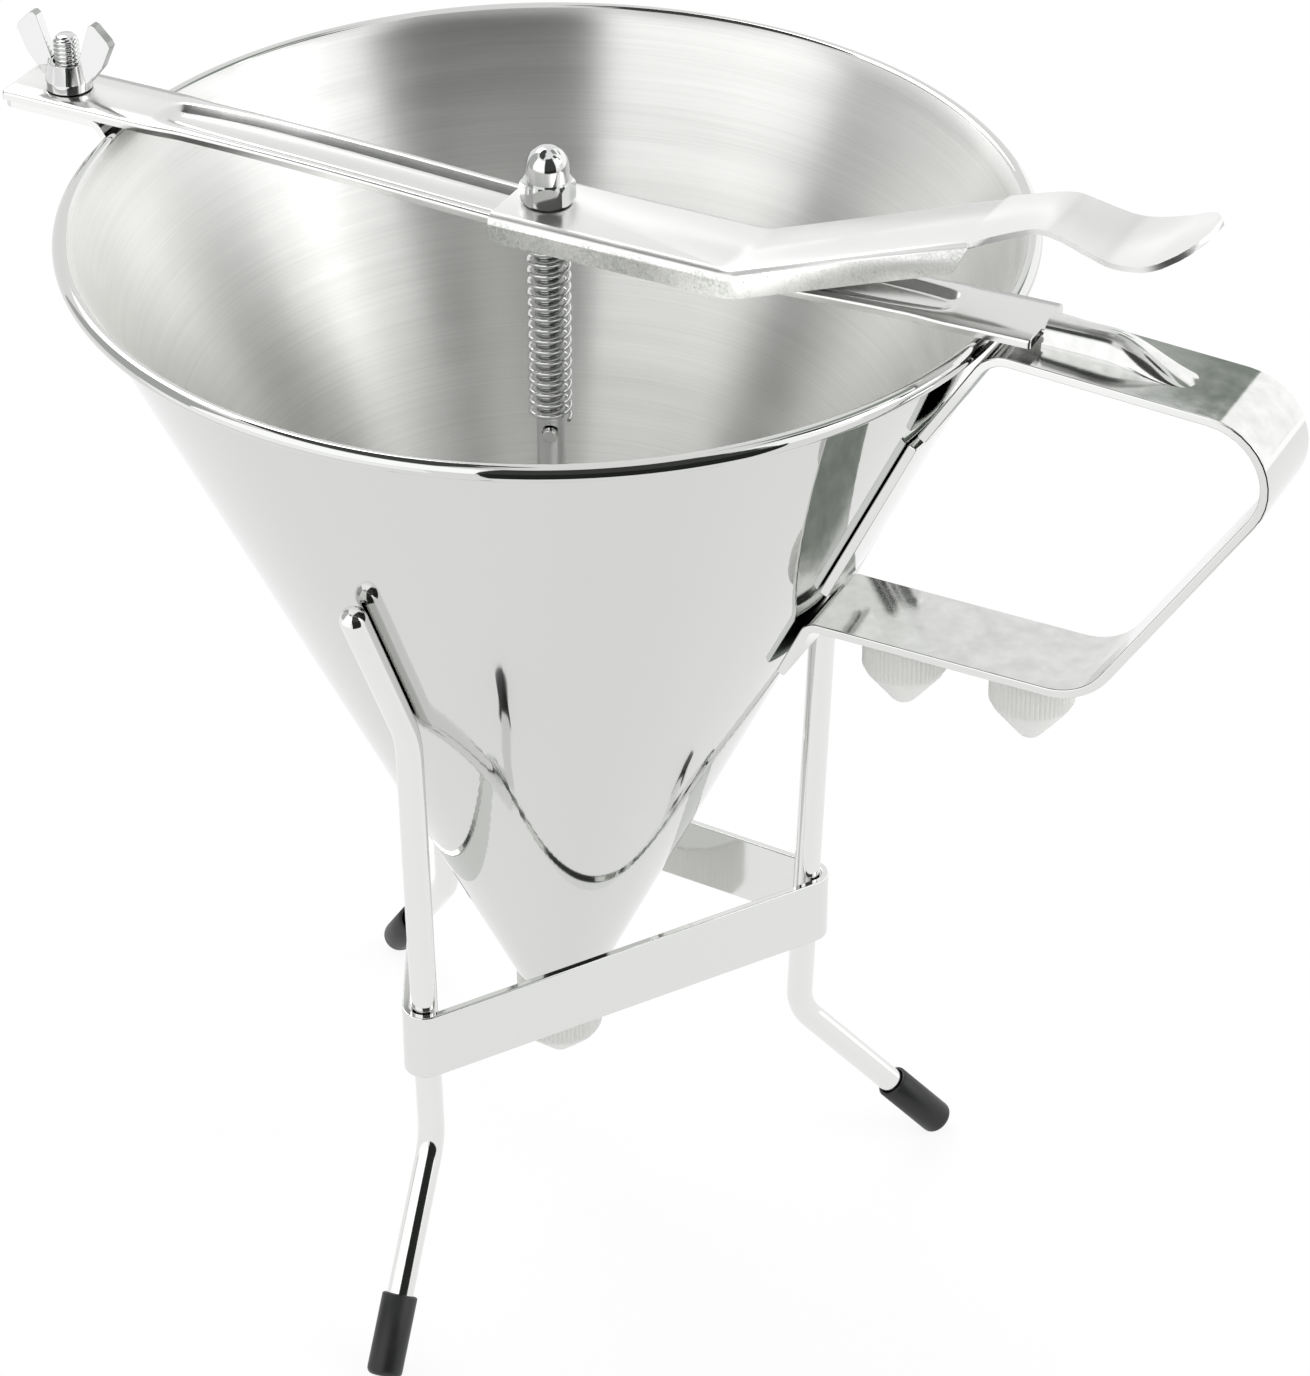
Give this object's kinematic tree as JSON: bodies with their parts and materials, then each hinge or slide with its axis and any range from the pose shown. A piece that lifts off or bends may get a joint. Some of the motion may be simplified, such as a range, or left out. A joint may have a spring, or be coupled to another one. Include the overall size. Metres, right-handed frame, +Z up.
{
  "type": "piston funnel",
  "caption": "Steel cone funnel with a crossbar lever that lifts a sprung piston out of a screw-on nozzle, in a three-legged stand with spare nozzles under its handle.",
  "frame": {"origin": "on the surface the stand stands on, under the middle of the part's length", "axes": "+Z up along the cone's axis direction; +X along the crossbar towards the handle and the lever's thumb rest; +Y away from the viewer of the picture's near side"},
  "size_m": [0.2864, 0.2, 0.275],
  "materials": {
    "polished_steel": "polished stainless steel",
    "satin_steel": "satin stainless steel",
    "bright_fittings": "bright turned steel",
    "spring_wire": "drawn steel wire",
    "pale_plastic": "pale moulded plastic, fine ribs",
    "black_rubber": "soft matt rubber"
  },
  "bodies": {
    "stand": {"leg_1": "polished_steel", "leg_2": "polished_steel", "leg_3": "polished_steel", "stand_band": "polished_steel", "foot_cap_1": "black_rubber", "foot_cap_2": "black_rubber", "foot_cap_3": "black_rubber"},
    "funnel": {"funnel_cone": "polished_steel", "outlet_ferrule": "polished_steel", "handle_strip": "polished_steel", "handle_backing_strip": "polished_steel", "bar_bracket": "polished_steel", "bracket_stud": "polished_steel", "crossbar": "satin_steel", "fulcrum_lug": "polished_steel", "nozzle_post_1": "polished_steel", "nozzle_post_2": "polished_steel", "return_spring": "spring_wire"},
    "lever": {"lever": "satin_steel", "pivot_pin": "polished_steel"},
    "piston": {"piston_rod": "bright_fittings", "dome_nut": "bright_fittings", "cross_pin": "bright_fittings", "stopper": "bright_fittings"},
    "wing_nut": {"wing_nut": "bright_fittings"},
    "nozzle": {"nozzle": "pale_plastic"},
    "spare_nozzle_1": {"spare_nozzle_1": "pale_plastic"},
    "spare_nozzle_2": {"spare_nozzle_2": "pale_plastic"}
  },
  "joints": [
    {"name": "funnel_lift", "type": "slide", "parent": "stand", "child": "funnel", "axis": [0, 0, 1], "range_m": [0, 0.2]},
    {"name": "lever_pivot", "type": "hinge", "parent": "funnel", "child": "lever", "pos_m": [0.02503, 0, 0.24063], "axis": [0, 1, 0], "range_deg": [0, 12]},
    {"name": "piston_slide", "type": "slide", "parent": "funnel", "child": "piston", "axis": [0, 0, 1], "range_m": [0, 0.0102], "stiffness_N_per_m": 300, "springref_m": -0.015, "deforming": ["return_spring"]},
    {"name": "nozzle_turn", "type": "hinge", "parent": "funnel", "child": "nozzle", "pos_m": [-0.01697, 0, 0.047], "axis": [0, 0, 1], "continuous": true},
    {"name": "spare_nozzle_1_turn", "type": "hinge", "parent": "funnel", "child": "spare_nozzle_1", "pos_m": [0.06503, 0, 0.162], "axis": [0, 0, 1], "continuous": true},
    {"name": "spare_nozzle_2_turn", "type": "hinge", "parent": "funnel", "child": "spare_nozzle_2", "pos_m": [0.09333, 0, 0.162], "axis": [0, 0, 1], "continuous": true},
    {"name": "wing_nut_turn", "type": "hinge", "parent": "funnel", "child": "wing_nut", "pos_m": [-0.13147, 0, 0.25], "axis": [0, 0, 1], "continuous": true}
  ],
  "couplings": [
    {"joint": "piston_slide", "follows": "lever_pivot", "m_per_rad": 0.0482}
  ]
}
